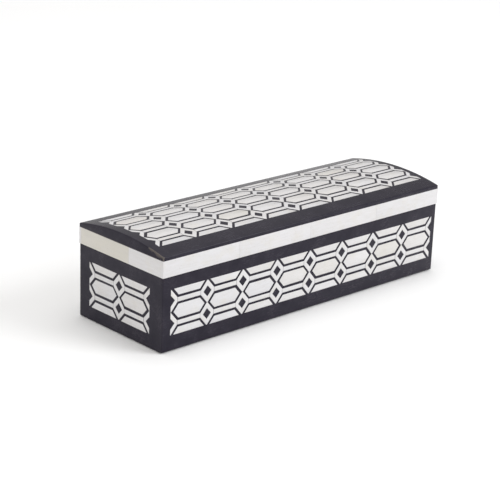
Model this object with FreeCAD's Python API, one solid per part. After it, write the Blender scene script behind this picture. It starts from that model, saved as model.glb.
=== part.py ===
import FreeCAD, Part
import math
import os

# Inlaid wooden box with an arched, hinged lid. Sizes in millimetres.
# +X runs along the box, the front faces -Y, +Z is up, and the origin is the middle of the resting face.
Vector = FreeCAD.Vector

# Overall sizes
LID_LENGTH = 305.0
LID_WIDTH = 101.0
BASE_HEIGHT = 59.4          # the walls, without the felt under them
BAND_HEIGHT = 13.4          # plain bone band round the lid
LID_EDGE_HEIGHT = 3.0       # dark upright edge between the band and the arch
ARCH_RISE = 5.8             # from that edge up to the ridge
LID_OVERHANG = 0.4          # the lid stands this far outside the base on every side
SEAM_GAP = 0.3              # between the base's rim and the closed lid

# Layers
RESIN_THICKNESS = 2.4       # dark ground on the wood
BONE_THICKNESS = 1.8        # inlaid bone, let into the ground
BAND_THICKNESS = 2.4
WALL_THICKNESS = 7.6
RAIL_THICKNESS = 7.6
FLOOR_THICKNESS = 5.0
CORNER_REBATE = 3.8         # the end walls and end rails sit this deep in the long ones
FLOOR_REBATE = 3.8          # the floor panel sits this deep in the walls
EDGE_ROUNDING = 0.8         # outer corners of the resin and the band
GLUE_LINE = 0.05            # under the bone on the arch

# Felt
UNDER_FELT_THICKNESS = 0.8
UNDER_FELT_INSET = 2.0
LINING_THICKNESS = 1.2
LINING_CLEARANCE = 0.3

# Inlay pattern: rows of long hexagons, with diamond frames and straight bars between them
WALL_COLUMNS = 8
END_COLUMNS = 2
WALL_ROWS = 2
LID_ROWS = 4
FIELD_SIDE_MARGIN = 6.5     # plain ground at each end of the front
FIELD_TOP_MARGIN = 10.2
FIELD_BOTTOM_MARGIN = 12.4
FRONT_FIELD_SHIFT = 1.4     # the front's and the lid's fields stand this far right of the middle
LEFT_FIELD_SHIFT = -1.3     # the left end's field stands this far towards the back
END_FIELD_DROP = 1.4        # the ends' fields stand this much lower than the front's
LID_FIELD_SHIFT = 1.0       # the lid's field stands this far behind the ridge
BAR_WIDTH = 3.6
NECK_WIDTH = 0.7            # bone left where two diamond frames meet point to point
LINE_WIDTH = 1.9            # dark line round each hexagon tile
HEXAGON_FLAT_SHARE = 0.63   # straight side of a hexagon as a share of the column pitch
DIAMOND_WIDTH = 8.0
DIAMOND_HEIGHT = 8.8

# Bone band pieces
LONG_BAND_PIECES = 4
END_BAND_PIECES = 2
LEFT_JOINT_SHIFT = 10.0     # the left end's joint stands this far towards the front

# Hinges
HINGE_END_DISTANCE = 57.5   # from the end of the lid to the middle of a hinge
HINGE_LENGTH = 25.0
LEAF_THICKNESS = 1.0
LEAF_DEPTH = 8.6            # how far a leaf is let into the rim
BARREL_RADIUS = 1.8
BARREL_GAP = 0.3            # between the barrel and the lid's back face
KNUCKLE_GAP = 0.2
PIN_RADIUS = 0.8
PIN_CLEARANCE = 0.05
LID_TRAVEL = 100.0          # degrees the lid opens before the stop tabs meet
TAB_MARGIN = 1.0            # degrees left between the tabs at the end of the travel
TAB_REACH = 3.0             # tab length outside the barrel
TAB_ROOT = 0.6              # how deep a tab is joined into its own knuckles
TAB_GAP = 0.3               # between a tab and the other leaf's knuckles

# Hinge screws
SCREW_SPACING = 14.0
SCREW_INSET = 5.4           # from the lid's back face
SCREW_LENGTH = 8.0
SCREW_RADIUS = 0.9
SCREW_HEAD_RADIUS = 1.7
SCREW_HEAD_HEIGHT = 0.8
SCREW_POINT = 1.6           # length of the tapered end
SCREW_TIP_RADIUS = 0.2
SCREW_CLEARANCE = 0.05
SLOT_WIDTH = 0.5
SLOT_DEPTH = 0.4

# Derived sizes
base_length = LID_LENGTH - 2 * LID_OVERHANG
base_width = LID_WIDTH - 2 * LID_OVERHANG
core_length = base_length - 2 * RESIN_THICKNESS
core_width = base_width - 2 * RESIN_THICKNESS
base_bottom = UNDER_FELT_THICKNESS
rim = base_bottom + BASE_HEIGHT
lid_bottom = rim + SEAM_GAP
band_top = lid_bottom + BAND_HEIGHT
apex = band_top + LID_EDGE_HEIGHT + ARCH_RISE
arch_radius = ((LID_WIDTH / 2) ** 2 + ARCH_RISE ** 2) / (2 * ARCH_RISE)
arch_centre = apex - arch_radius
pitch = (base_length - 2 * FIELD_SIDE_MARGIN) / WALL_COLUMNS
row = (BASE_HEIGHT - FIELD_TOP_MARGIN - FIELD_BOTTOM_MARGIN) / WALL_ROWS
field_middle = base_bottom + FIELD_BOTTOM_MARGIN + WALL_ROWS * row / 2
hinge_axis_y = LID_WIDTH / 2 + BARREL_GAP + BARREL_RADIUS
hinge_axis_z = rim + SEAM_GAP / 2


def box(x0, x1, y0, y1, z0, z1):
    return Part.makeBox(x1 - x0, y1 - y0, z1 - z0, Vector(x0, y0, z0))


def rod(radius, x0, x1, y, z):
    return Part.makeCylinder(radius, x1 - x0, Vector(x0, y, z), Vector(1, 0, 0))


def fused(shapes):
    return shapes[0].multiFuse(shapes[1:]).removeSplitter()


def save(name, shapes):
    shape = shapes[0] if len(shapes) == 1 else Part.makeCompound(shapes)
    shape.exportStep("parts/" + name + ".step")


# Inlay pattern, drawn as outlines in (u, v) about the middle of a field
def hexagon_corners():
    """Half width, half flat and half height of a hexagon tile, inside its dark line."""
    point = pitch / 2 - NECK_WIDTH / 2
    flat = HEXAGON_FLAT_SHARE * pitch / 2
    top = row / 2 - BAR_WIDTH / 2
    slope = math.hypot(top, point - flat)
    tile_top = top - LINE_WIDTH
    tile_point = point - LINE_WIDTH * slope / top
    tile_flat = tile_point - (point - flat) * tile_top / top
    return tile_point, tile_flat, tile_top


def shifted(outline, u, v):
    return [(u + a, v + b) for a, b in outline]


def hexagon_outlines(columns, rows):
    point, flat, top = hexagon_corners()
    whole = [(-point, 0), (-flat, -top), (flat, -top), (point, 0), (flat, top), (-flat, top)]
    low_half = [(-point, 0), (-flat, -top), (flat, -top), (point, 0)]
    high_half = [(-point, 0), (point, 0), (flat, top), (-flat, top)]
    tiles = []
    half_tiles = []
    for column in range(columns):
        u = (column - (columns - 1) / 2) * pitch
        for level in range(1, rows):
            tiles.append(shifted(whole, u, (level - rows / 2) * row))
        half_tiles.append(shifted(high_half, u, -rows / 2 * row))
        half_tiles.append(shifted(low_half, u, rows / 2 * row))
    return tiles, half_tiles


def bar_outlines(columns, rows):
    flat = HEXAGON_FLAT_SHARE * pitch / 2
    bar = [(-flat, -BAR_WIDTH / 2), (flat, -BAR_WIDTH / 2), (flat, BAR_WIDTH / 2), (-flat, BAR_WIDTH / 2)]
    bars = []
    for column in range(columns):
        for level in range(rows):
            u = (column - (columns - 1) / 2) * pitch
            bars.append(shifted(bar, u, (level + 0.5 - rows / 2) * row))
    return bars


def half_frame(side):
    """One half of a diamond frame, to the left (-1) or the right (1) of its middle line."""
    reach = pitch / 2 - HEXAGON_FLAT_SHARE * pitch / 2
    outer = [(0, row / 2), (NECK_WIDTH / 2, row / 2), (reach, BAR_WIDTH / 2)]
    outer += [(reach, -BAR_WIDTH / 2), (NECK_WIDTH / 2, -row / 2), (0, -row / 2)]
    inner = [(0, -DIAMOND_HEIGHT / 2), (DIAMOND_WIDTH / 2, 0), (0, DIAMOND_HEIGHT / 2)]
    return [(side * a, b) for a, b in outer + inner]


def frame_outlines(columns, rows):
    """Each frame is a list of one or two half outlines; the ends of a field take half frames."""
    frames = []
    for line in range(columns + 1):
        sides = [side for side in (-1, 1) if 0 <= line + (side - 1) / 2 < columns]
        for level in range(rows):
            u = (line - columns / 2) * pitch
            v = (level + 0.5 - rows / 2) * row
            frames.append([shifted(half_frame(side), u, v) for side in sides])
    return frames


def field(columns, rows):
    """The pieces of one field: each piece is a list of outlines that make one solid."""
    tiles, half_tiles = hexagon_outlines(columns, rows)
    return {
        "hexagon_tiles": [[outline] for outline in tiles],
        "half_hexagon_tiles": [[outline] for outline in half_tiles],
        "lattice_bars": [[outline] for outline in bar_outlines(columns, rows)],
        "diamond_frames": frame_outlines(columns, rows),
    }


def prism(outlines, point_of, depth):
    """A piece cut straight through along depth, from outlines placed by point_of(u, v)."""
    solids = []
    for outline in outlines:
        corners = [point_of(u, v) for u, v in outline]
        solids.append(Part.Face(Part.makePolygon(corners + corners[:1])).extrude(depth))
    return solids[0] if len(solids) == 1 else fused(solids)


def turned_out(shapes, turn, distance):
    """Shapes drawn facing -Y on y = 0, turned to their side and moved out to its face."""
    placed = []
    for shape in shapes:
        moved = shape.copy()
        moved.translate(Vector(0, -distance, 0))
        moved.rotate(Vector(), Vector(0, 0, 1), turn)
        placed.append(moved)
    return placed


# Inlaid side of the base, drawn facing -Y with its outer face on y = 0, then turned into place
def inlaid_side(name, length, columns, turn, distance, rounded, shift, middle):
    """Saves the bone of one side and returns its ground; shift and middle place the field along and up."""
    ground = box(-length / 2, length / 2, 0, RESIN_THICKNESS, base_bottom, rim)
    if rounded:
        corners = [
            edge
            for edge in ground.Edges
            if edge.BoundBox.ZLength > BASE_HEIGHT / 2 and edge.BoundBox.YMax < RESIN_THICKNESS / 2
        ]
        ground = ground.makeFillet(EDGE_ROUNDING, corners)
    depth = Vector(0, BONE_THICKNESS, 0)
    pieces = {
        kind: [prism(outlines, lambda u, v: Vector(u + shift, 0, middle + v), depth) for outlines in group]
        for kind, group in field(columns, WALL_ROWS).items()
    }
    ground = ground.cut([piece for group in pieces.values() for piece in group])
    for kind, group in pieces.items():
        save(name + "_" + kind, turned_out(group, turn, distance))
    return turned_out(ground.Solids, turn, distance)[0]


# Wooden frame of four pieces, the end pieces let into rebates in the long ones
def wooden_frame(length, width, thickness, z0, z1):
    rebate_y = width / 2 - thickness + CORNER_REBATE
    left = box(-length / 2, -length / 2 + thickness, -rebate_y, rebate_y, z0, z1)
    right = box(length / 2 - thickness, length / 2, -rebate_y, rebate_y, z0, z1)
    front = box(-length / 2, length / 2, -width / 2, -width / 2 + thickness, z0, z1)
    back = box(-length / 2, length / 2, width / 2 - thickness, width / 2, z0, z1)
    return front.cut([left, right]), back.cut([left, right]), left, right


# Body under the arch: flat on the band's top, arched over y, constant along x
def arched_body(length, width, top, radius):
    edge = top - radius + math.sqrt(radius ** 2 - (width / 2) ** 2)
    x = -length / 2
    foot_front = Vector(x, -width / 2, band_top)
    foot_back = Vector(x, width / 2, band_top)
    edge_front = Vector(x, -width / 2, edge)
    edge_back = Vector(x, width / 2, edge)
    sides = [
        Part.makeLine(foot_front, foot_back),
        Part.makeLine(foot_back, edge_back),
        Part.Arc(edge_back, Vector(x, 0, top), edge_front).toShape(),
        Part.makeLine(edge_front, foot_front),
    ]
    return Part.Face(Part.Wire(sides)).extrude(Vector(length, 0, 0))


def arch_shell(thickness):
    outside = rod(arch_radius, -LID_LENGTH / 2, LID_LENGTH / 2, 0, arch_centre)
    return outside.cut(rod(arch_radius - thickness, -LID_LENGTH / 2, LID_LENGTH / 2, 0, arch_centre))


def on_arch(u, v):
    """Point over the arch, with v measured along the curve; the piece is then cut straight down."""
    turn = (v + LID_FIELD_SHIFT) / arch_radius
    return Vector(u + FRONT_FIELD_SHIFT, arch_radius * math.sin(turn), apex)


# Plain bone band on one side of the lid, drawn facing -Y and split into pieces
def bone_band(length, count, rounded, shift=0):
    """The pieces are equal, unless shift moves the joints between them along the band."""
    joints = [index * length / count - length / 2 + shift for index in range(1, count)]
    stations = [-length / 2] + joints + [length / 2]
    pieces = []
    for start, end in zip(stations, stations[1:]):
        piece = box(start, end, 0, BAND_THICKNESS, lid_bottom, band_top)
        ends = [x for x in (start, end) if rounded and abs(abs(x) - length / 2) < EDGE_ROUNDING]
        corners = [
            edge
            for edge in piece.Edges
            if edge.BoundBox.ZLength > BAND_HEIGHT / 2
            and edge.BoundBox.YMax < BAND_THICKNESS / 2
            and any(abs(edge.BoundBox.XMin - x) < EDGE_ROUNDING for x in ends)
        ]
        pieces.append(piece.makeFillet(EDGE_ROUNDING, corners) if corners else piece)
    return pieces


# Brass stop hinge
def knuckle_ranges(x):
    length = (HINGE_LENGTH - 2 * KNUCKLE_GAP) / 3
    starts = [x - HINGE_LENGTH / 2 + index * (length + KNUCKLE_GAP) for index in range(3)]
    return [(start, start + length) for start in starts]


def leaf_plate(x, back, z0):
    return box(x - HINGE_LENGTH / 2, x + HINGE_LENGTH / 2, back - LEAF_DEPTH, back, z0, z0 + LEAF_THICKNESS)


def stop_tab(x0, x1, inner, side):
    """Flat tab from the barrel; side is 1 for the lid's, which looks down, and -1 for the base's."""
    z0 = 0 if side > 0 else -LEAF_THICKNESS
    tab = box(x0, x1, inner, BARREL_RADIUS + TAB_REACH, z0, z0 + LEAF_THICKNESS)
    tab.rotate(Vector(), Vector(1, 0, 0), side * (LID_TRAVEL + TAB_MARGIN) / 2)
    tab.translate(Vector(0, hinge_axis_y, hinge_axis_z))
    return tab


def hinge_leaf(x, back, z0, knuckles, bore, side):
    shapes = [leaf_plate(x, back, z0)]
    for start, end in knuckles:
        shapes.append(rod(BARREL_RADIUS, start, end, hinge_axis_y, hinge_axis_z))
        shapes.append(box(start, end, back, hinge_axis_y, z0, z0 + LEAF_THICKNESS))
        shapes.append(stop_tab(start, end, BARREL_RADIUS - TAB_ROOT, side))
    half = HINGE_LENGTH / 2
    shapes.append(stop_tab(x - half, x + half, BARREL_RADIUS + TAB_GAP, side))
    leaf = fused(shapes)
    return leaf.cut([rod(bore, x - half, x + half, hinge_axis_y, hinge_axis_z)])


def screw(x, face, into, extra):
    """Countersunk screw with its head flush with face; into is -1 for down and 1 for up."""
    y = LID_WIDTH / 2 - SCREW_INSET
    radius = SCREW_RADIUS + extra
    head_radius = SCREW_HEAD_RADIUS + extra
    top = Vector(x, y, face)
    along = Vector(0, 0, into)
    head = Part.makeCone(head_radius, radius, SCREW_HEAD_HEIGHT, top, along)
    shank = Part.makeCylinder(radius, SCREW_LENGTH - SCREW_POINT, top, along)
    taper = top + along * (SCREW_LENGTH - SCREW_POINT)
    tip = Part.makeCone(radius, SCREW_TIP_RADIUS + extra, SCREW_POINT, taper, along)
    return fused([head, shank, tip])


def slotted(shape, x, face):
    y = LID_WIDTH / 2 - SCREW_INSET
    reach = SCREW_HEAD_RADIUS + SLOT_WIDTH
    slot = box(x - reach, x + reach, y - SLOT_WIDTH / 2, y + SLOT_WIDTH / 2, face - SLOT_DEPTH, face + SLOT_DEPTH)
    return shape.cut([slot])


os.makedirs("parts", exist_ok=True)

# Base: walls, floor and inlaid sides
floor_x = core_length / 2 - WALL_THICKNESS + FLOOR_REBATE
floor_y = core_width / 2 - WALL_THICKNESS + FLOOR_REBATE
floor_panel = box(-floor_x, floor_x, -floor_y, floor_y, base_bottom, base_bottom + FLOOR_THICKNESS)
walls = wooden_frame(core_length, core_width, WALL_THICKNESS, base_bottom, rim)
front_wall, back_wall, left_wall, right_wall = [wall.cut([floor_panel]) for wall in walls]
end_middle = field_middle - END_FIELD_DROP
long_side = (base_length, WALL_COLUMNS)
end_side = (core_width, END_COLUMNS)
front_ground = inlaid_side("front", *long_side, 0, base_width / 2, True, FRONT_FIELD_SHIFT, field_middle)
back_ground = inlaid_side("back", *long_side, 180, base_width / 2, True, 0, field_middle)
left_ground = inlaid_side("left", *end_side, -90, base_length / 2, False, LEFT_FIELD_SHIFT, end_middle)
right_ground = inlaid_side("right", *end_side, 90, base_length / 2, False, 0, end_middle)

# Lid: rails, bone band, arched panel and its inlaid ground
rail_length = LID_LENGTH - 2 * BAND_THICKNESS
rail_width = LID_WIDTH - 2 * BAND_THICKNESS
front_rail, back_rail, left_rail, right_rail = wooden_frame(
    rail_length, rail_width, RAIL_THICKNESS, lid_bottom, band_top
)
front_band = turned_out(bone_band(LID_LENGTH, LONG_BAND_PIECES, True), 0, LID_WIDTH / 2)
back_band = turned_out(bone_band(LID_LENGTH, LONG_BAND_PIECES, True), 180, LID_WIDTH / 2)
left_band = turned_out(bone_band(rail_width, END_BAND_PIECES, False, LEFT_JOINT_SHIFT), -90, LID_LENGTH / 2)
right_band = turned_out(bone_band(rail_width, END_BAND_PIECES, False), 90, LID_LENGTH / 2)
panel_length = LID_LENGTH - 2 * RESIN_THICKNESS
panel_width = LID_WIDTH - 2 * RESIN_THICKNESS
arched_panel = arched_body(panel_length, panel_width, apex - RESIN_THICKNESS, arch_radius - RESIN_THICKNESS)
lid_outside = arched_body(LID_LENGTH, LID_WIDTH, apex, arch_radius)
upper_edges = [edge for edge in lid_outside.Edges if edge.BoundBox.ZMax > band_top + LID_EDGE_HEIGHT / 2]
lid_ground = lid_outside.makeFillet(EDGE_ROUNDING, upper_edges).cut([arched_panel])
bone_layer = arch_shell(BONE_THICKNESS)
pocket_layer = arch_shell(BONE_THICKNESS + GLUE_LINE)
down = Vector(0, 0, band_top - apex)
pockets = []
for kind, group in field(WALL_COLUMNS, LID_ROWS).items():
    blanks = [prism(outlines, on_arch, down) for outlines in group]
    save("lid_" + kind, [blank.common(bone_layer).Solids[0] for blank in blanks])
    pockets += [blank.common(pocket_layer) for blank in blanks]
lid_ground = lid_ground.cut(pockets).Solids[0]

# Hinges, let into the back rims, with their screws
base_screws = []
lid_screws = []
hinge_x = LID_LENGTH / 2 - HINGE_END_DISTANCE
for side, x in (("left", -hinge_x), ("right", hinge_x)):
    first, middle, last = knuckle_ranges(x)
    base_leaf = hinge_leaf(x, base_width / 2, rim - LEAF_THICKNESS, [first, last], PIN_RADIUS, -1)
    lid_leaf = hinge_leaf(x, LID_WIDTH / 2, lid_bottom, [middle], PIN_RADIUS + PIN_CLEARANCE, 1)
    base_mortise = leaf_plate(x, base_width / 2, rim - LEAF_THICKNESS)
    lid_mortise = leaf_plate(x, LID_WIDTH / 2, lid_bottom)
    screw_x = [x - SCREW_SPACING / 2, x + SCREW_SPACING / 2]
    base_holes = [screw(at, rim, -1, SCREW_CLEARANCE) for at in screw_x]
    lid_holes = [screw(at, lid_bottom, 1, SCREW_CLEARANCE) for at in screw_x]
    back_wall = back_wall.cut([base_mortise] + base_holes)
    back_ground = back_ground.cut([base_mortise] + base_holes)
    back_rail = back_rail.cut([lid_mortise] + lid_holes)
    back_band = [piece.cut([lid_mortise] + lid_holes) for piece in back_band]
    base_screws += [slotted(screw(at, rim, -1, 0), at, rim) for at in screw_x]
    lid_screws += [slotted(screw(at, lid_bottom, 1, 0), at, lid_bottom) for at in screw_x]
    save(side + "_hinge_base_leaf", [base_leaf.cut(base_holes)])
    save(side + "_hinge_lid_leaf", [lid_leaf.cut(lid_holes)])
    half = HINGE_LENGTH / 2
    save(side + "_hinge_pin", [rod(PIN_RADIUS, x - half, x + half, hinge_axis_y, hinge_axis_z)])
save("hinge_base_screws", base_screws)
save("hinge_lid_screws", lid_screws)

save("front_wall", [front_wall])
save("back_wall", [back_wall])
save("left_wall", [left_wall])
save("right_wall", [right_wall])
save("floor_panel", [floor_panel])
save("front_resin_ground", [front_ground])
save("back_resin_ground", [back_ground])
save("left_resin_ground", [left_ground])
save("right_resin_ground", [right_ground])
save("lid_front_rail", [front_rail])
save("lid_back_rail", [back_rail])
save("lid_left_rail", [left_rail])
save("lid_right_rail", [right_rail])
save("lid_front_bone_band", front_band)
save("lid_back_bone_band", back_band)
save("lid_left_bone_band", left_band)
save("lid_right_bone_band", right_band)
save("lid_arched_panel", [arched_panel])
save("lid_resin_ground", [lid_ground])

# Felt linings
cavity_x = core_length / 2 - WALL_THICKNESS - LINING_CLEARANCE
cavity_y = core_width / 2 - WALL_THICKNESS - LINING_CLEARANCE
floor_top = base_bottom + FLOOR_THICKNESS
recess_x = rail_length / 2 - RAIL_THICKNESS - LINING_CLEARANCE
recess_y = rail_width / 2 - RAIL_THICKNESS - LINING_CLEARANCE
under_x = base_length / 2 - UNDER_FELT_INSET
under_y = base_width / 2 - UNDER_FELT_INSET
save("floor_felt", [box(-cavity_x, cavity_x, -cavity_y, cavity_y, floor_top, floor_top + LINING_THICKNESS)])
save("lid_felt", [box(-recess_x, recess_x, -recess_y, recess_y, band_top - LINING_THICKNESS, band_top)])
save("underside_felt", [box(-under_x, under_x, -under_y, under_y, 0, UNDER_FELT_THICKNESS)])
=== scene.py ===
import math

import bmesh
import bpy
from mathutils import Matrix, Vector


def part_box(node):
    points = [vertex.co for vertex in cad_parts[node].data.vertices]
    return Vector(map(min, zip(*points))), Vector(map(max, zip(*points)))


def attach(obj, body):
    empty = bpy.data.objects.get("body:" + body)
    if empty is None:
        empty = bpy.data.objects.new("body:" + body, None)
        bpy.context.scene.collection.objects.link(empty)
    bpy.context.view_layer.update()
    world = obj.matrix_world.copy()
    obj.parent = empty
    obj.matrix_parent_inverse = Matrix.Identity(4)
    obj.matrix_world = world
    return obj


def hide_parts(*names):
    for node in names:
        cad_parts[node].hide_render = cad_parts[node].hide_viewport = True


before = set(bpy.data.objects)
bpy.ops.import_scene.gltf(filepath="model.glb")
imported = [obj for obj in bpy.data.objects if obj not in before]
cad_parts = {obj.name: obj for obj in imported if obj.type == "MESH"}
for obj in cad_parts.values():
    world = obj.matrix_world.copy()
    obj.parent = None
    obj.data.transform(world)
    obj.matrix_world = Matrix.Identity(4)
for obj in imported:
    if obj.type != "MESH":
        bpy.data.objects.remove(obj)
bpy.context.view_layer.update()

# Bone-inlay box with an arched, hinged lid: bone, dark resin, wood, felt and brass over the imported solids.
MM = 0.001
TINY = 0.001 * MM           # points nearer than this are one

# Counts and sizes of the inlay pattern
WALL_COLUMNS = 8            # hexagons along the front, the back and the lid
END_COLUMNS = 2
WALL_ROWS = 2
LID_ROWS = 4
BAR_WIDTH = 3.6 * MM
NECK_WIDTH = 0.7 * MM       # a diamond frame where it meets the next one up
LINE_WIDTH = 1.9 * MM       # dark line round each hexagon tile
FLAT_SHARE = 0.63           # share of a column that the hexagons' flat sides take
DIAMOND_WIDTH = 8.0 * MM
DIAMOND_HEIGHT = 8.8 * MM
BONE_THICKNESS = 1.8 * MM

# Sizes of the lid, the ground and the hinges
ARCH_RISE = 5.8 * MM
RESIN_THICKNESS = 2.4 * MM
LEAF_THICKNESS = 1.0 * MM
LEFT_JOINT_SHIFT = 10.0 * MM  # the left band's joint stands this far towards the front

# Finish of the handwork, with angles in degrees
PROUD = 0.03 * MM           # bone stands above the ground by this
HAIRLINE = 0.05 * MM        # half the joint between two bone pieces
TILE_ROUND = 0.14 * MM      # softened upper edge of a bone piece
CORNER_ROUND = 0.15 * MM    # softened corner of a bone piece
GROUND_ROUND = 0.8 * MM     # outer corners of the dark ground
RIM_ROUND = 0.25 * MM       # upper and lower edges of the dark ground
WOOD_ROUND = 0.5 * MM
BRASS_ROUND = 0.15 * MM
CORNER_ANGLE = 20.0         # a bone piece's upright edges that turn by more are its corners
UPPER_ANGLE = 45.0          # and its upper edges that turn by more bound its face
ARRIS_ANGLE = 30.0          # the lid ground's edges that turn by more are its arrises
FLAT_ANGLE = 0.5            # the solids' faces that meet at less are one face
CREASE_ANGLE = 40.0         # the wood's and the brass's edges that turn by more are softened
ARCH_SEGMENTS = 72
STRIP = 1.6 * MM            # bone on the arch is divided into strips this wide so that it follows the curve

# Marks on the dark ground, partly rubbing and partly painted highlight: its arrises turn lighter brown, most
# on the lid's left arris at the front corner, where it is rubbed through and painted as the highlight of its
# rounding
ARRIS_RUB_AND_HIGHLIGHT = 0.5            # from 0, untouched, to 1
CORNER_RUB_AND_HIGHLIGHT = 0.9
RUB_HIGHLIGHT_LENGTH = 19.0 * MM   # from the corner along the arris
RUB_HIGHLIGHT_EVENLY = 0.75        # share of that length before the rubbing fades
RUB_HIGHLIGHT_DEPTH = 8.0 * MM     # the rubbing and the painted highlight fade out over this much of the end
RUB_HIGHLIGHT_TOP_PACE = 4.0       # and this many times faster over the top

# Places read from the solids
field_low, field_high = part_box("front_diamond_frames")
pitch = (field_high.x - field_low.x) / WALL_COLUMNS
row = (field_high.z - field_low.z) / WALL_ROWS
lid_low, lid_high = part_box("lid_resin_ground")
lid_half_width = (lid_high.y - lid_low.y) / 2
arch_radius = (lid_half_width ** 2 + ARCH_RISE ** 2) / (2 * ARCH_RISE)
pin_boxes = [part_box(side + "_hinge_pin") for side in ("left", "right")]
hinge_spans = [(low.x, high.x) for low, high in pin_boxes]


# Small classes that write materials
class Value:
    """A socket in a material; arithmetic on it adds Math nodes."""

    def __init__(self, finish, socket):
        self.finish = finish
        self.socket = socket

    def maths(self, operation, first, second):
        return self.finish.add("ShaderNodeMath", {"operation": operation}, {0: first, 1: second})

    def __add__(self, other):
        return self.maths("ADD", self, other)

    def __radd__(self, other):
        return self.maths("ADD", other, self)

    def __sub__(self, other):
        return self.maths("SUBTRACT", self, other)

    def __rsub__(self, other):
        return self.maths("SUBTRACT", other, self)

    def __mul__(self, other):
        return self.maths("MULTIPLY", self, other)

    def __rmul__(self, other):
        return self.maths("MULTIPLY", other, self)


class Finish:
    """A material, or the light round the studio, built from nodes; every node comes from add()."""

    def __init__(self, name, world=None):
        self.material = world or bpy.data.materials.new(name)
        self.material.use_nodes = True
        self.tree = self.material.node_tree
        self.tree.nodes.clear()

    def add(self, kind, settings=None, sockets=None, output=0):
        node = self.tree.nodes.new(kind)
        for name, setting in (settings or {}).items():
            if name == "stops":
                self.set_stops(node.color_ramp, setting)
            else:
                setattr(node, name, setting)
        for key, value in (sockets or {}).items():
            if isinstance(value, Value):
                self.tree.links.new(value.socket, node.inputs[key])
            else:
                node.inputs[key].default_value = value
        return Value(self, node.outputs[output]) if node.outputs else node

    def set_stops(self, ramp, stops):
        while len(ramp.elements) < len(stops):
            ramp.elements.new(1.0)
        for element, (place, colour) in zip(ramp.elements, stops):
            element.position = place
            element.color = (*colour, 1.0)

    def place(self):
        return self.add("ShaderNodeTexCoord", output="Object")

    def attribute(self, name, output):
        return self.add("ShaderNodeAttribute", {"attribute_name": name}, output=output)

    def axes(self, vector):
        """X, Y and Z of a vector."""
        parts = self.add("ShaderNodeSeparateXYZ", sockets={0: vector})
        return [Value(self, socket) for socket in parts.socket.node.outputs]

    def stretched(self, vector, scale):
        return self.add("ShaderNodeMapping", sockets={0: vector, 3: scale})

    def noise(self, vector, scale, detail, roughness=0.55):
        sockets = {"Vector": vector, "Scale": scale, "Detail": detail, "Roughness": roughness}
        return self.add("ShaderNodeTexNoise", sockets=sockets)

    def range(self, value, low, high, new_low=0.0, new_high=1.0):
        sockets = {0: value, 1: low, 2: high, 3: new_low, 4: new_high}
        return self.add("ShaderNodeMapRange", {"clamp": True}, sockets)

    def ramp(self, value, stops):
        return self.add("ShaderNodeValToRGB", {"stops": stops}, {0: value})

    def mix(self, factor, first, second):
        colours = [c if isinstance(c, Value) else (*c, 1.0) for c in (first, second)]
        sockets = {0: factor, 6: colours[0], 7: colours[1]}
        return self.add("ShaderNodeMix", {"data_type": "RGBA"}, sockets, output=2)

    def bump(self, height, strength, distance):
        sockets = {"Height": height, "Strength": strength, "Distance": distance}
        return self.add("ShaderNodeBump", sockets=sockets)

    def surface(self, **sockets):
        named = {name.replace("_", " "): value for name, value in sockets.items()}
        shader = self.add("ShaderNodeBsdfPrincipled", sockets=named)
        self.add("ShaderNodeOutputMaterial", sockets={"Surface": shader})
        return self.material


# Finishes
def bone_finish():
    """Polished bone: each piece has its own tone, long faint streaks and small dark pores."""
    finish = Finish("polished_bone")
    tone = finish.attribute("tone", "Fac")
    grain = finish.attribute("grain", "Vector")
    along = finish.stretched(grain, (90.0, 620.0, 620.0))
    streak = finish.noise(along, scale=1.0, detail=4.0, roughness=0.6)
    cloud = finish.noise(grain, scale=95.0, detail=2.0)
    pore_place = finish.stretched(grain, (700.0, 2600.0, 2600.0))
    pore = finish.range(finish.noise(pore_place, scale=1.0, detail=2.0, roughness=0.5), 0.655, 0.735)
    tones = [
        (0.0, (0.620, 0.614, 0.634)),
        (0.35, (0.665, 0.656, 0.668)),
        (0.62, (0.655, 0.640, 0.640)),
        (0.78, (0.630, 0.612, 0.585)),
        (0.88, (0.640, 0.606, 0.598)),
        (1.0, (0.595, 0.575, 0.505)),
    ]
    body = finish.ramp(tone, tones)
    body = finish.mix(finish.range(streak, 0.42, 0.72, 0.0, 0.30), body, (0.53, 0.51, 0.49))
    body = finish.mix(finish.range(cloud, 0.50, 0.75, 0.0, 0.32), body, (0.60, 0.565, 0.49))
    body = finish.mix(pore * 0.6, body, (0.32, 0.28, 0.23))
    relief = streak * 0.5 + (1.0 - pore)
    return finish.surface(
        Base_Color=body,
        Roughness=0.26 + streak * 0.16 + pore * 0.2,
        IOR=1.5,
        Normal=finish.bump(relief, strength=0.12, distance=0.1 * MM),
    )


def rubbed_and_highlit_corner(finish, place):
    """Rubbing and painted highlight at the lid's front left corner, most on the left arris, less below it
    and over the top.
    """
    x, y, z = finish.axes(place)
    slope = (lid_half_width - RUB_HIGHLIGHT_LENGTH / 2) / arch_radius
    back = y - lid_low.y
    down = back * slope + (lid_high.z - ARCH_RISE) - z
    over = (x - lid_low.x) * RUB_HIGHLIGHT_TOP_PACE
    depth = finish.range(down + over, 0.0, RUB_HIGHLIGHT_DEPTH, CORNER_RUB_AND_HIGHLIGHT, 0.0)
    return depth * finish.range(back, RUB_HIGHLIGHT_EVENLY * RUB_HIGHLIGHT_LENGTH, RUB_HIGHLIGHT_LENGTH, 1.0, 0.0)


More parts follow.
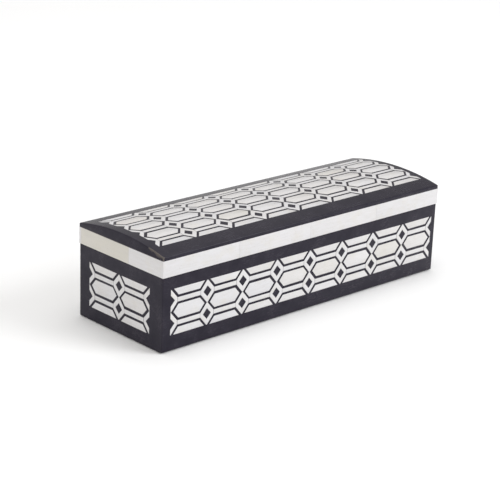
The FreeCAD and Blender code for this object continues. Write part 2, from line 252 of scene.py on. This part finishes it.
def resin_finish():
    """Dark polished filler: a breath of violet, cloudy depth, rubbing marks, and arrises painted lighter
    brown, partly rubbed and partly as a painted highlight on their rounding.
    """
    finish = Finish("dark_resin")
    place = finish.place()
    edge = finish.attribute("wear", "Fac")
    cloud = finish.noise(place, scale=60.0, detail=4.0, roughness=0.6)
    speck = finish.range(finish.noise(place, scale=1500.0, detail=2.0), 0.68, 0.76)
    rub = finish.noise(finish.stretched(place, (220.0, 2600.0, 2600.0)), scale=1.0, detail=2.0)
    wave = finish.noise(place, scale=34.0, detail=1.0)
    ragged = finish.noise(place, scale=260.0, detail=4.0, roughness=0.7)
    # Lighter brown mark on the arrises and the lid's front left corner: partly rubbing, partly painted
    # highlight
    rub_and_highlight = finish.range(edge + rubbed_and_highlit_corner(finish, place) + ragged, 1.14, 1.50)
    body = finish.mix(finish.range(cloud, 0.35, 0.7), (0.0160, 0.0138, 0.0235), (0.0285, 0.0250, 0.0365))
    body = finish.mix(speck * 0.3, body, (0.040, 0.036, 0.042))
    body = finish.mix(rub_and_highlight * 0.8, body, (0.132, 0.116, 0.102))
    return finish.surface(
        Base_Color=body,
        Roughness=0.17 + cloud * 0.10 + rub * 0.08 + rub_and_highlight * 0.25,
        IOR=1.25,
        Normal=finish.bump(wave * 0.8 + rub * 0.03, strength=0.10, distance=0.6 * MM),
    )


def wood_finish(name, across):
    """Oiled wood with the grain along X, or along Y where across is set."""
    finish = Finish(name)
    place = finish.place()
    fine, broad, pores = (160.0, 900.0, 900.0), (9.0, 130.0, 130.0), (220.0, 3200.0, 3200.0)
    if across:
        fine, broad, pores = [(s[1], s[0], s[2]) for s in (fine, broad, pores)]
    figure = finish.noise(finish.stretched(place, broad), scale=1.0, detail=3.0, roughness=0.6)
    fibre = finish.noise(finish.stretched(place, fine), scale=1.0, detail=4.0, roughness=0.65)
    pore = finish.range(finish.noise(finish.stretched(place, pores), scale=1.0, detail=2.0), 0.62, 0.72)
    stops = [(0.25, (0.16, 0.085, 0.042)), (0.5, (0.30, 0.17, 0.085)), (0.75, (0.42, 0.26, 0.14))]
    body = finish.ramp(figure * 0.7 + fibre * 0.3, stops)
    body = finish.mix(pore * 0.6, body, (0.09, 0.047, 0.024))
    return finish.surface(
        Base_Color=body,
        Roughness=0.46 + fibre * 0.18 + pore * 0.12,
        IOR=1.5,
        Normal=finish.bump(fibre * 0.5 - pore, strength=0.18, distance=0.2 * MM),
    )


def felt_finish():
    """Pressed black felt: matted fibres, lint and a dull surface."""
    finish = Finish("black_felt")
    place = finish.place()
    matted = finish.noise(place, scale=900.0, detail=5.0, roughness=0.7)
    fibre = finish.noise(finish.stretched(place, (700.0, 5200.0, 5200.0)), scale=1.0, detail=2.0)
    lint = finish.range(finish.noise(place, scale=2600.0, detail=1.0), 0.70, 0.78)
    body = finish.mix(matted, (0.010, 0.010, 0.012), (0.040, 0.040, 0.046))
    body = finish.mix(lint * 0.35, body, (0.16, 0.155, 0.16))
    return finish.surface(
        Base_Color=body,
        Roughness=0.88 + matted * 0.12,
        Sheen_Weight=0.25,
        Sheen_Roughness=0.6,
        Normal=finish.bump(matted + fibre * 0.6, strength=0.55, distance=0.4 * MM),
    )


def brass_finish():
    """Worn brass: brushed along X, with duller brown patches."""
    finish = Finish("worn_brass")
    place = finish.place()
    brush = finish.noise(finish.stretched(place, (500.0, 9000.0, 9000.0)), scale=1.0, detail=2.0)
    patch = finish.range(finish.noise(place, scale=420.0, detail=3.0), 0.45, 0.72)
    body = finish.mix(patch * 0.55, (0.79, 0.56, 0.25), (0.42, 0.27, 0.11))
    return finish.surface(
        Base_Color=body,
        Metallic=1.0,
        Roughness=0.24 + brush * 0.14 + patch * 0.18,
        Normal=finish.bump(brush, strength=0.08, distance=0.1 * MM),
    )


def floor_finish():
    """Pale seamless paper."""
    finish = Finish("pale_paper")
    tooth = finish.noise(finish.place(), scale=900.0, detail=3.0)
    shade = finish.mix(tooth * 0.15, (0.97, 0.97, 0.97), (0.92, 0.92, 0.92))
    relief = finish.bump(tooth, strength=0.05, distance=0.2 * MM)
    return finish.surface(Base_Color=shade, Roughness=0.85, Normal=relief)


BONE = bone_finish()
RESIN = resin_finish()
WOOD_LONG = wood_finish("oiled_wood_long", False)
WOOD_ACROSS = wood_finish("oiled_wood_across", True)
FELT = felt_finish()
BRASS = brass_finish()


# Pieces
def new_piece(name, mesh):
    piece = bpy.data.objects.new(name, mesh)
    bpy.context.scene.collection.objects.link(piece)
    return piece


def hand_over(piece, body, slot, *nodes):
    """The finished piece stands for the CAD nodes and moves with their body."""
    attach(piece, body)
    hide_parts(*nodes)


def mesh_of(shape, name, degrees=35.0):
    """A finished bmesh as plain mesh data, smooth where faces meet at a low angle."""
    bmesh.ops.recalc_face_normals(shape, faces=shape.faces)
    mesh = bpy.data.meshes.new(name)
    shape.to_mesh(mesh)
    shape.free()
    mesh.shade_smooth()
    mesh.set_sharp_from_angle(angle=math.radians(degrees))
    return mesh


def block(low, high):
    shape = bmesh.new()
    bmesh.ops.create_cube(shape, size=1.0)
    bmesh.ops.scale(shape, vec=high - low, verts=shape.verts)
    bmesh.ops.translate(shape, vec=(low + high) / 2, verts=shape.verts)
    return shape


def rounded_edges(shape, edges, radius, segments):
    """Rounds the edges and returns the faces that the rounding makes."""
    made = bmesh.ops.bevel(
        shape, geom=edges, offset=radius, segments=segments, profile=0.5, affect="EDGES", clamp_overlap=True
    )
    shape.normal_update()
    return made["faces"]


def extent(edge, axis):
    """How far an edge runs along an axis."""
    first, second = edge.verts
    return abs(first.co[axis] - second.co[axis])


def turning(edges, degrees):
    """The edges where the surface turns by more than the angle."""
    return [edge for edge in edges if edge.calc_face_angle(0) > math.radians(degrees)]


def plate(outlines, thickness, face=0.0):
    """A flat piece on one or two outlines that share an edge, with its upper face at z = face."""
    shape = bmesh.new()
    for outline in outlines:
        shape.faces.new([shape.verts.new((u, v, face - thickness)) for u, v in outline])
    bmesh.ops.remove_doubles(shape, verts=shape.verts, dist=TINY)
    bmesh.ops.recalc_face_normals(shape, faces=shape.faces)
    raised = bmesh.ops.extrude_face_region(shape, geom=list(shape.faces), use_keep_orig=True)["geom"]
    upper = [item for item in raised if isinstance(item, bmesh.types.BMVert)]
    bmesh.ops.translate(shape, vec=(0, 0, thickness), verts=upper)
    bmesh.ops.recalc_face_normals(shape, faces=shape.faces)
    return shape


def facing(turn, node):
    """Carries a flat piece, drawn face up about the origin, to the outer face of an upright node."""
    low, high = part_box(node)
    spin = Matrix.Rotation(math.radians(turn), 4, "Z")
    out = spin @ Vector((0, -1, 0))
    half = (high - low) / 2
    face = (low + high) / 2 + Vector([way * size for way, size in zip(out, half)])
    return Matrix.Translation(face) @ spin @ Matrix.Rotation(math.radians(90), 4, "X")


def span(turn, node):
    """Length, height and depth of a node on an upright side."""
    low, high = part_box(node)
    size = high - low
    return (size.y, size.z, size.x) if turn % 180 else (size.x, size.z, size.y)


def notched(half_length, half_height, notches, edge):
    """Rectangle with hinge notches in its upper (edge = 1) or lower (edge = -1) side."""
    corners = [(-half_length, -half_height), (half_length, -half_height), (half_length, half_height)]
    floor = half_height - LEAF_THICKNESS
    for start, end in sorted(notches, reverse=True):
        corners += [(end, half_height), (end, floor), (start, floor), (start, half_height)]
    corners.append((-half_length, half_height))
    return [(u, edge * v) for u, v in corners]


# Outlines of the bone pieces, in (u, v) about the middle of each piece
def hexagon_corners():
    point = pitch / 2 - NECK_WIDTH / 2
    flat = FLAT_SHARE * pitch / 2
    top = row / 2 - BAR_WIDTH / 2
    slope = math.hypot(top, point - flat)
    tile_top = top - LINE_WIDTH
    tile_point = point - LINE_WIDTH * slope / top
    tile_flat = tile_point - (point - flat) * tile_top / top
    return tile_point, tile_flat, tile_top


def hexagon():
    point, flat, top = hexagon_corners()
    return [[(-point, 0), (-flat, -top), (flat, -top), (point, 0), (flat, top), (-flat, top)]]


def half_hexagon(side):
    point, flat, top = hexagon_corners()
    return [[(-point, 0), (point, 0), (flat, side * top), (-flat, side * top)]]


def bar():
    flat = FLAT_SHARE * pitch / 2 - HAIRLINE
    half = BAR_WIDTH / 2
    return [[(-flat, -half), (flat, -half), (flat, half), (-flat, half)]]


def half_frame(side):
    reach = pitch / 2 - FLAT_SHARE * pitch / 2 - HAIRLINE
    tip = row / 2 - HAIRLINE
    outer = [(0, tip), (NECK_WIDTH / 2, tip), (reach, BAR_WIDTH / 2)]
    outer += [(reach, -BAR_WIDTH / 2), (NECK_WIDTH / 2, -tip), (0, -tip)]
    inner = [(0, -DIAMOND_HEIGHT / 2), (DIAMOND_WIDTH / 2, 0), (0, DIAMOND_HEIGHT / 2)]
    return [(side * u, v) for u, v in outer + inner]


def bone_piece(outlines, thickness):
    """One bone piece lying in the plane, a little proud, with softened corners and upper edges."""
    shape = plate(outlines, thickness, PROUD)
    upright = [edge for edge in shape.edges if extent(edge, 2) > thickness / 2]
    rounded_edges(shape, turning(upright, CORNER_ANGLE), CORNER_ROUND, 2)
    upper = [edge for edge in shape.edges if all(vert.co.z > PROUD - TINY for vert in edge.verts)]
    rounded_edges(shape, turning(upper, UPPER_ANGLE), TILE_ROUND, 2)
    return shape


def in_strips(shape):
    """Divides a flat piece across v so that it can bend over the arch."""
    reach = max(abs(vert.co.y) for vert in shape.verts)
    count = int(reach / STRIP)
    for index in range(-count, count + 1):
        geometry = list(shape.verts) + list(shape.edges) + list(shape.faces)
        bmesh.ops.bisect_plane(
            shape, geom=geometry, dist=TINY, plane_co=(0, index * STRIP, 0), plane_no=(0, 1, 0)
        )
    return shape


# Node tree that lays a bone piece out in columns and rows, and bends the field over the arch
TURN_SEED = 100.0           # these are added to a field's seed, so that each random choice is its own
TONE_SEED = 200.0
SIZE_SEED = 300.0
GRAIN_DRIFT = 7.0           # metres that a piece's tone moves its grain, so that no two pieces match


class Tree:
    """A geometry node tree built with add(); links are values given to sockets."""

    def __init__(self, name):
        self.tree = bpy.data.node_groups.new(name, "GeometryNodeTree")
        self.sockets = {}

    def socket(self, name, kind, way="INPUT"):
        made = self.tree.interface.new_socket(name, in_out=way, socket_type=kind)
        self.sockets[name] = made.identifier

    def add(self, kind, settings=None, sockets=None, output=0):
        node = self.tree.nodes.new(kind)
        for name, setting in (settings or {}).items():
            setattr(node, name, setting)
        for key, value in (sockets or {}).items():
            if isinstance(value, bpy.types.NodeSocket):
                self.tree.links.new(value, node.inputs[key])
            else:
                node.inputs[key].default_value = value
        return node.outputs[output] if node.outputs else node

    def maths(self, operation, *values):
        return self.add("ShaderNodeMath", {"operation": operation}, dict(enumerate(values)))

    def vector(self, *parts):
        return self.add("ShaderNodeCombineXYZ", sockets=dict(enumerate(parts)))

    def random_vector(self, low, high, seed):
        sockets = {0: low, 1: high, "Seed": seed}
        return self.add("FunctionNodeRandomValue", {"data_type": "FLOAT_VECTOR"}, sockets)

    def random_number(self, low, high, seed):
        sockets = {2: low, 3: high, "Seed": seed}
        return self.add("FunctionNodeRandomValue", {"data_type": "FLOAT"}, sockets, output=1)

    def stored(self, geometry, name, value, kind, domain):
        settings = {"data_type": kind, "domain": domain}
        sockets = {"Geometry": geometry, "Name": name, "Value": value}
        return self.add("GeometryNodeStoreNamedAttribute", settings, sockets)


def layout_inputs(tree):
    """The tree's named inputs, as sockets to link from."""
    tree.socket("Geometry", "NodeSocketGeometry", "OUTPUT")
    tree.socket("Piece", "NodeSocketGeometry")
    for name in ("Columns", "Rows", "Seed"):
        tree.socket(name, "NodeSocketInt")
    lengths = ("Pitch", "Row Height", "Start U", "Start V", "Arch Radius")
    variety = ("Slip", "Turn", "Stretch", "Low Tone", "High Tone")
    for name in lengths + variety:
        tree.socket(name, "NodeSocketFloat")
    tree.socket("Material", "NodeSocketMaterial")
    return tree.add("NodeGroupInput").node.outputs


def laid_points(tree, given):
    """A point for each column of each row, slipped a little from its place."""
    index = tree.add("GeometryNodeInputIndex")
    count = tree.maths("MULTIPLY", given["Columns"], given["Rows"])
    points = tree.add("GeometryNodePoints", sockets={"Count": count})
    line = tree.maths("FLOOR", tree.maths("DIVIDE", tree.maths("ADD", index, 0.5), given["Columns"]))
    column = tree.maths("SUBTRACT", index, tree.maths("MULTIPLY", line, given["Columns"]))
    u = tree.maths("MULTIPLY_ADD", column, given["Pitch"], given["Start U"])
    v = tree.maths("MULTIPLY_ADD", line, given["Row Height"], given["Start V"])
    slip = given["Slip"]
    minus = tree.maths("MULTIPLY", slip, -1.0)
    offset = tree.random_vector(tree.vector(minus, minus), tree.vector(slip, slip), given["Seed"])
    sockets = {"Geometry": points, "Position": tree.vector(u, v), "Offset": offset}
    return tree.add("GeometryNodeSetPosition", sockets=sockets)


def placed_pieces(tree, given, points):
    """The bone piece on every point, with a turn, a size and a tone of its own."""
    turn = given["Turn"]
    turn_seed = tree.maths("ADD", given["Seed"], TURN_SEED)
    spin = tree.vector(0.0, 0.0, tree.random_number(tree.maths("MULTIPLY", turn, -1.0), turn, turn_seed))
    small = tree.maths("SUBTRACT", 1.0, given["Stretch"])
    large = tree.maths("ADD", 1.0, given["Stretch"])
    size_seed = tree.maths("ADD", given["Seed"], SIZE_SEED)
    size = tree.random_vector(tree.vector(small, small, 1.0), tree.vector(large, large, 1.0), size_seed)
    sockets = {"Points": points, "Instance": given["Piece"], "Rotation": spin, "Scale": size}
    placed = tree.add("GeometryNodeInstanceOnPoints", sockets=sockets)
    tone_seed = tree.maths("ADD", given["Seed"], TONE_SEED)
    tone = tree.random_number(given["Low Tone"], given["High Tone"], tone_seed)
    return tree.stored(placed, "tone", tone, "FLOAT", "INSTANCE")


def bent_place(tree, given, position):
    """Where a place in the flat field lies on the arch; with no radius it stays where it is."""
    x, y, z = tree.add("ShaderNodeSeparateXYZ", sockets={0: position}).node.outputs
    radius = given["Arch Radius"]
    angle = tree.maths("DIVIDE", y, radius)
    reach = tree.maths("ADD", z, radius)
    across = tree.maths("MULTIPLY", reach, tree.maths("SINE", angle))
    up = tree.maths("SUBTRACT", tree.maths("MULTIPLY", reach, tree.maths("COSINE", angle)), radius)
    arched = tree.maths("GREATER_THAN", radius, 0.0)
    sockets = {0: arched, 1: position, 2: tree.vector(x, across, up)}
    return tree.add("GeometryNodeSwitch", {"input_type": "VECTOR"}, sockets)


def layout_tree():
    tree = Tree("bone_layout")
    given = layout_inputs(tree)
    pieces = placed_pieces(tree, given, laid_points(tree, given))
    real = tree.add("GeometryNodeRealizeInstances", sockets={"Geometry": pieces})
    position = tree.add("GeometryNodeInputPosition")
    tone = tree.add("GeometryNodeInputNamedAttribute", {"data_type": "FLOAT"}, {"Name": "tone"})
    far = tree.maths("MULTIPLY", tone, GRAIN_DRIFT)
    drift = tree.vector(far, far, far)
    grain = tree.add("ShaderNodeVectorMath", {"operation": "ADD"}, {0: position, 1: drift})
    grained = tree.stored(real, "grain", grain, "FLOAT_VECTOR", "POINT")
    sockets = {"Geometry": grained, "Position": bent_place(tree, given, position)}
    shaped = tree.add("GeometryNodeSetPosition", sockets=sockets)
    sockets = {"Geometry": shaped, "Material": given["Material"]}
    finished = tree.add("GeometryNodeSetMaterial", sockets=sockets)
    tree.add("NodeGroupOutput", sockets={"Geometry": finished})
    return tree


LAYOUT = layout_tree()


def laid_out(shape, columns, rows, start, seed, tones, play=(0.0, 0.0, 0.0), radius=0.0):
    """Plain mesh of one bone piece repeated over a field; play is its slip, turn in degrees and stretch."""
    carrier = new_piece("layout", mesh_of(shape, "layout"))
    modifier = carrier.modifiers.new("layout", "NODES")
    modifier.node_group = LAYOUT.tree
    values = {
        "Columns": columns,
        "Rows": rows,
        "Seed": seed,
        "Pitch": pitch,
        "Row Height": row,
        "Start U": start[0],
        "Start V": start[1],
        "Slip": play[0],
        "Turn": math.radians(play[1]),
        "Stretch": play[2],
        "Low Tone": tones[0],
        "High Tone": tones[1],
        "Arch Radius": radius,
        "Material": BONE,
    }
    for name, value in values.items():
        modifier[LAYOUT.sockets[name]] = value
    carrier.update_tag()
    bpy.context.view_layer.update()
    evaluated = carrier.evaluated_get(bpy.context.evaluated_depsgraph_get())
    mesh = bpy.data.meshes.new_from_object(evaluated)
    carrier.modifiers.remove(modifier)
    bpy.data.objects.remove(carrier)
    return mesh


def joined(name, meshes):
    """One piece from several meshes; their attributes are kept."""
    pieces = [new_piece(name, mesh) for mesh in meshes]
    if len(pieces) > 1:
        with bpy.context.temp_override(
            active_object=pieces[0],
            object=pieces[0],
            selected_editable_objects=pieces,
            selected_objects=pieces,
        ):
            bpy.ops.object.join()
    pieces[0].name = name
    return pieces[0]


# Fields of inlay; each kind's play is its slip, its turn in degrees and its stretch
PLAY = {
    "hexagon_tiles": (0.25 * MM, 0.6, 0.012),
    "half_hexagon_tiles": (0.12 * MM, 0.3, 0.008),
    "lattice_bars": (0.03 * MM, 0.08, 0.0),
    "diamond_frames": (0.03 * MM, 0.08, 0.0),
}
# Whitest and most ivory tone of each kind; the large tiles differ most
TONES = {
    "hexagon_tiles": (0.0, 0.9),
    "half_hexagon_tiles": (0.0, 0.66),
    "lattice_bars": (0.12, 0.58),
    "diamond_frames": (0.12, 0.58),
}


def field_batches(columns, rows, middle):
    """For each kind of bone piece: outlines, columns, rows and where the first one stands."""
    left = -(columns - 1) / 2 * pitch
    edge = columns / 2 * pitch
    foot = middle - rows / 2 * row
    head = middle + rows / 2 * row
    return {
        "hexagon_tiles": [(hexagon(), columns, rows - 1, (left, foot + row))],
        "half_hexagon_tiles": [
            (half_hexagon(1), columns, 1, (left, foot)),
            (half_hexagon(-1), columns, 1, (left, head)),
        ],
        "lattice_bars": [(bar(), columns, rows, (left, foot + row / 2))],
        "diamond_frames": [
            ([half_frame(1), half_frame(-1)], columns - 1, rows, (left + pitch / 2, foot + row / 2)),
            ([half_frame(1)], 1, rows, (-edge, foot + row / 2)),
            ([half_frame(-1)], 1, rows, (edge, foot + row / 2)),
        ],
    }


def bone_field(side, body, columns, rows, place, seed, radius=0.0, middle=0.0):
    """All the bone of one side, carried to its place; with a radius, the field bends over the arch."""
    for kind, batches in field_batches(columns, rows, middle).items():
        meshes = []
        for outlines, across, up, start in batches:
            seed += 1
            shape = bone_piece(outlines, BONE_THICKNESS)
            if radius:
                shape = in_strips(shape)
            mesh = laid_out(shape, across, up, start, seed, TONES[kind], PLAY[kind], radius)
            mesh.transform(place)
            meshes.append(mesh)
        name = side + "_" + kind
        hand_over(joined(name + "_bone", meshes), body, "bone", name)


# Turn of each side from the front, in degrees
SIDES = {"front": 0, "back": 180, "left": -90, "right": 90}
# The front's and the lid's seeds put ivory tiles about where the photograph shows them
SEEDS = {"front": 998, "back": 30, "left": 50, "right": 70, "lid": 565}
for side_name, turn in SIDES.items():
    columns = END_COLUMNS if turn % 180 else WALL_COLUMNS
    place = facing(turn, side_name + "_diamond_frames")
    bone_field(side_name, "base", columns, WALL_ROWS, place, SEEDS[side_name])
arch_low, arch_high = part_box("lid_diamond_frames")
arch_middle = arch_radius * (math.asin(arch_low.y / arch_radius) + math.asin(arch_high.y / arch_radius)) / 2
arch_place = Matrix.Translation(((arch_low.x + arch_high.x) / 2, 0, lid_high.z))
bone_field("lid", "lid", WALL_COLUMNS, LID_ROWS, arch_place, SEEDS["lid"], arch_radius, arch_middle)


# Plain bone band round the lid, in strips with a tone each; shift moves the joints along it
def bone_band(side, turn, tones, notches=(), shift=0.0):
    node = "lid_" + side + "_bone_band"
    length, height, depth = span(turn, node)
    joints = [index * length / len(tones) - length / 2 + shift for index in range(1, len(tones))]
    stations = [-length / 2] + joints + [length / 2]
    meshes = []
    for index, tone in enumerate(tones):
        middle = (stations[index] + stations[index + 1]) / 2
        step = stations[index + 1] - stations[index]
        near = [(start, end) for start, end in notches if abs(start + end - 2 * middle) < step]
        own = [(start - middle, end - middle) for start, end in near]
        shape = bone_piece([notched(step / 2 - HAIRLINE, height / 2, own, -1)], depth)
        mesh = laid_out(shape, 1, 1, (middle, 0.0), index, (tone, tone))
        mesh.transform(facing(turn, node) @ Matrix.Translation((0, 0, -PROUD)))
        meshes.append(mesh)
    hand_over(joined(node + "_strips", meshes), "lid", "bone", node)


bone_band("front", 0, (0.24, 0.30, 0.42, 0.36))
bone_band("back", 180, (0.40, 0.20, 0.55, 0.33), hinge_spans)
bone_band("left", -90, (0.97, 0.42), shift=LEFT_JOINT_SHIFT)
bone_band("right", 90, (0.30, 0.62))


# Dark ground on the four sides: the long slabs run through at the corners and are rounded there
def side_ground(side, turn, notches=()):
    node = side + "_resin_ground"
    length, height, depth = span(turn, node)
    shape = plate([notched(length / 2, height / 2, notches, 1)], depth)
    # The rounded faces carry the lighter arris mark, partly rubbing and partly painted highlight
    rub_and_highlight = shape.faces.layers.float.new("wear")

    def at_end(vert):
        return abs(vert.co.x) > length / 2 - TINY

    def at_rim(vert):
        return abs(vert.co.y) > height / 2 - TINY

    def at_back(vert):
        return vert.co.z < TINY - depth

    made = []
    through = turn % 180 == 0
    if through:
        corners = [
            edge for edge in shape.edges if all(at_end(vert) and not at_back(vert) for vert in edge.verts)
        ]
        made += rounded_edges(shape, corners, GROUND_ROUND, 4)
    rims = [
        edge
        for edge in shape.edges
        if all(at_rim(vert) for vert in edge.verts)
        and not all(at_back(vert) for vert in edge.verts)
        and (through or not all(at_end(vert) for vert in edge.verts))
    ]
    made += rounded_edges(shape, rims, RIM_ROUND, 2)
    for face in made:
        if face.is_valid:
            face[rub_and_highlight] = ARRIS_RUB_AND_HIGHLIGHT
    piece = new_piece(node + "_coat", mesh_of(shape, node))
    piece.data.transform(facing(turn, node))
    piece.data.materials.append(RESIN)
    hand_over(piece, "base", "resin", node)


for side_name, turn in SIDES.items():
    side_ground(side_name, turn, hinge_spans if side_name == "back" else ())


# Dark ground over the lid: an arched cover with down-turned edges
def arch_height(y):
    return lid_high.z - arch_radius + math.sqrt(arch_radius ** 2 - y ** 2)


def lid_ground():
    shape = bmesh.new()
    sides = []
    for x in (lid_low.x, lid_high.x):
        ring = [shape.verts.new((x, -lid_half_width, lid_low.z))]
        for index in range(ARCH_SEGMENTS + 1):
            y = -lid_half_width + 2 * lid_half_width * index / ARCH_SEGMENTS
            ring.append(shape.verts.new((x, y, arch_height(y))))
        ring.append(shape.verts.new((x, lid_half_width, lid_low.z)))
        sides.append(ring)
    for ring in sides:
        shape.faces.new(ring)
    first, second = sides
    for index in range(len(first) - 1):
        shape.faces.new((first[index], first[index + 1], second[index + 1], second[index]))
    bmesh.ops.recalc_face_normals(shape, faces=shape.faces)
    # The rounded arrises carry the lighter arris mark, partly rubbing and partly painted highlight
    rub_and_highlight = shape.faces.layers.float.new("wear")
    for face in rounded_edges(shape, turning(shape.edges, ARRIS_ANGLE), GROUND_ROUND, 4):
        face[rub_and_highlight] = ARRIS_RUB_AND_HIGHLIGHT
    piece = new_piece("lid_resin_ground_coat", mesh_of(shape, "lid_resin_ground"))
    wall = piece.modifiers.new("wall", "SOLIDIFY")
    wall.thickness = RESIN_THICKNESS
    wall.offset = -1.0
    wall.use_even_offset = True
    piece.data.materials.append(RESIN)
    hand_over(piece, "lid", "resin", "lid_resin_ground")


lid_ground()


# Woodwork and brass keep the solids' shapes, with softened edges
def softened(node, name, finish, body, slot, radius):
    shape = bmesh.new()
    shape.from_mesh(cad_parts[node].data)
    bmesh.ops.remove_doubles(shape, verts=shape.verts, dist=TINY)
    bmesh.ops.dissolve_limit(
        shape,
        angle_limit=math.radians(FLAT_ANGLE),
        verts=shape.verts,
        edges=shape.edges,
        use_dissolve_boundaries=False,
    )
    piece = new_piece(name, mesh_of(shape, name, CREASE_ANGLE))
    piece.data.materials.append(finish)
    bevel = piece.modifiers.new("edges", "BEVEL")
    bevel.width = radius
    bevel.segments = 2
    bevel.limit_method = "ANGLE"
    bevel.angle_limit = math.radians(CREASE_ANGLE)
    bevel.use_clamp_overlap = True
    hand_over(piece, body, slot, node)


def board(node, finish, body):
    softened(node, node + "_board", finish, body, "wood", WOOD_ROUND)


for side_name, turn in SIDES.items():
    wood = WOOD_ACROSS if turn % 180 else WOOD_LONG
    board(side_name + "_wall", wood, "base")
    board("lid_" + side_name + "_rail", wood, "lid")
board("floor_panel", WOOD_LONG, "base")
for side_name in ("left", "right"):
    for body_name in ("base", "lid"):
        hinge = side_name + "_hinge_" + body_name
        softened(hinge + "_leaf", hinge + "_plate", BRASS, body_name, "brass", BRASS_ROUND)


def kept(node, finish):
    """A CAD node that keeps its own shape and takes a finish."""
    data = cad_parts[node].data
    data.materials.clear()
    data.materials.append(finish)


kept("lid_arched_panel", WOOD_LONG)
for node_name in ("left_hinge_pin", "right_hinge_pin", "hinge_base_screws", "hinge_lid_screws"):
    kept(node_name, BRASS)


# Felt: thin pressed sheets with soft edges and a faintly uneven face; the shares are of a sheet's thickness
FELT_CUTS = (94, 30)        # along X and along Y
FELT_SINK = 0.10            # share that the face sinks everywhere
FELT_RIPPLE = 0.05          # share that it rises and falls
FELT_FALL = 0.25            # share that it falls away at the rim
FELT_RIM = 1.2 * MM         # how far in from the rim it falls away
FELT_CREASE = 50.0          # degrees


def felt_ripple(x, y, seed):
    """Uneven height at a place in millimetres: slow hills and quicker slanting waves."""
    hills = math.sin(x * 0.11 + seed) * math.sin(y * 0.17 + 2 * seed)
    waves = math.sin(x * 0.31 + y * 0.23 + seed)
    return hills + waves


def felt_sheet(node, body, crest, seed):
    """A felt whose upper face (crest = 1) or lower face (crest = -1) is uneven, or neither (crest = 0)."""
    low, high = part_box(node)
    middle = (low.z + high.z) / 2
    thickness = high.z - low.z
    shape = block(low, high)
    for axis, cuts in enumerate(FELT_CUTS):
        edges = [edge for edge in shape.edges if extent(edge, axis) > thickness]
        bmesh.ops.subdivide_edges(shape, edges=edges, cuts=cuts, use_grid_fill=True)
    for vert in shape.verts:
        ripple = felt_ripple(vert.co.x / MM, vert.co.y / MM, seed)
        inset = min(high.x - abs(vert.co.x), high.y - abs(vert.co.y))
        fall = math.exp(-inset / FELT_RIM)
        sink = thickness * (FELT_SINK + FELT_RIPPLE * ripple + FELT_FALL * fall)
        if crest * (vert.co.z - middle) > 0:
            vert.co.z -= crest * max(sink, 0.0)
    piece = new_piece(node + "_sheet", mesh_of(shape, node, FELT_CREASE))
    piece.data.materials.append(FELT)
    hand_over(piece, body, "felt", node)


felt_sheet("floor_felt", "base", 1, 0.4)
felt_sheet("lid_felt", "lid", -1, 1.9)
felt_sheet("underside_felt", "base", 0, 3.1)


# Camera at the photograph's view, fitted to the box's corners and the lid's outline
AZIMUTH = math.radians(-43.633)
ELEVATION = math.radians(19.371)
ROLL = math.radians(2.248)
DISTANCE = 1.34703
TARGET = Vector((-0.01741, 0.0, 0.04014))
FOCAL_PIXELS = 1659.2       # focal length in the photograph's pixels
IMAGE_PIXELS = 500.0
SENSOR = 36.0               # millimetres


def camera():
    data = bpy.data.cameras.new("camera")
    data.sensor_width = SENSOR
    data.lens = FOCAL_PIXELS / IMAGE_PIXELS * SENSOR
    eye = bpy.data.objects.new("camera", data)
    bpy.context.scene.collection.objects.link(eye)
    back = Vector(
        (
            math.sin(AZIMUTH) * math.cos(ELEVATION),
            -math.cos(AZIMUTH) * math.cos(ELEVATION),
            math.sin(ELEVATION),
        )
    )
    right = Vector((math.cos(AZIMUTH), math.sin(AZIMUTH), 0.0))
    up = back.cross(right)
    level = math.cos(ROLL) * right + math.sin(ROLL) * up
    upright = -math.sin(ROLL) * right + math.cos(ROLL) * up
    turn = Matrix((level, upright, back)).transposed()
    eye.matrix_world = Matrix.Translation(TARGET + back * DISTANCE) @ turn.to_4x4()
    bpy.context.scene.camera = eye


camera()


# Pale floor and soft studio light; the light all round is weaker towards the right
FLOOR_HALF = 4.0
ROUND_COLOUR = (1.0, 0.992, 0.98, 1.0)
ROUND_STRENGTH = (0.76, 0.36)
ROUND_CHANGE = (0.64, 0.76)  # it weakens as a direction's X goes from the first to the second
LIGHTS = (
    # name, place, size, power, colour
    ("key", (3.15, -4.41, 3.21), 3.2, 195.0, (0.965, 0.98, 1.0)),
    ("top", (0.3, 0.2, 1.8), 1.6, 7.5, (1.0, 1.0, 1.0)),
    ("fill", (-1.8, -0.4, 0.9), 1.2, 4.0, (1.0, 0.97, 0.93)),
)


def studio():
    shape = bmesh.new()
    bmesh.ops.create_grid(shape, x_segments=4, y_segments=4, size=FLOOR_HALF)
    floor = new_piece("floor", mesh_of(shape, "floor"))
    floor.data.materials.append(floor_finish())
    surroundings = Finish("studio", bpy.data.worlds.new("studio"))
    way = surroundings.add("ShaderNodeTexCoord", output="Generated")
    strength = surroundings.range(surroundings.axes(way)[0], *ROUND_CHANGE, *ROUND_STRENGTH)
    light = surroundings.add("ShaderNodeBackground", sockets={0: ROUND_COLOUR, 1: strength})
    surroundings.add("ShaderNodeOutputWorld", sockets={"Surface": light})
    bpy.context.scene.world = surroundings.material
    for name, place, size, power, colour in LIGHTS:
        data = bpy.data.lights.new(name, "AREA")
        data.shape = "SQUARE"
        data.size = size
        data.energy = power
        data.color = colour
        lamp = bpy.data.objects.new(name, data)
        bpy.context.scene.collection.objects.link(lamp)
        lamp.location = place
        lamp.rotation_euler = (-Vector(place)).to_track_quat("-Z", "Y").to_euler()
    bpy.context.scene.view_settings.view_transform = "Standard"


studio()
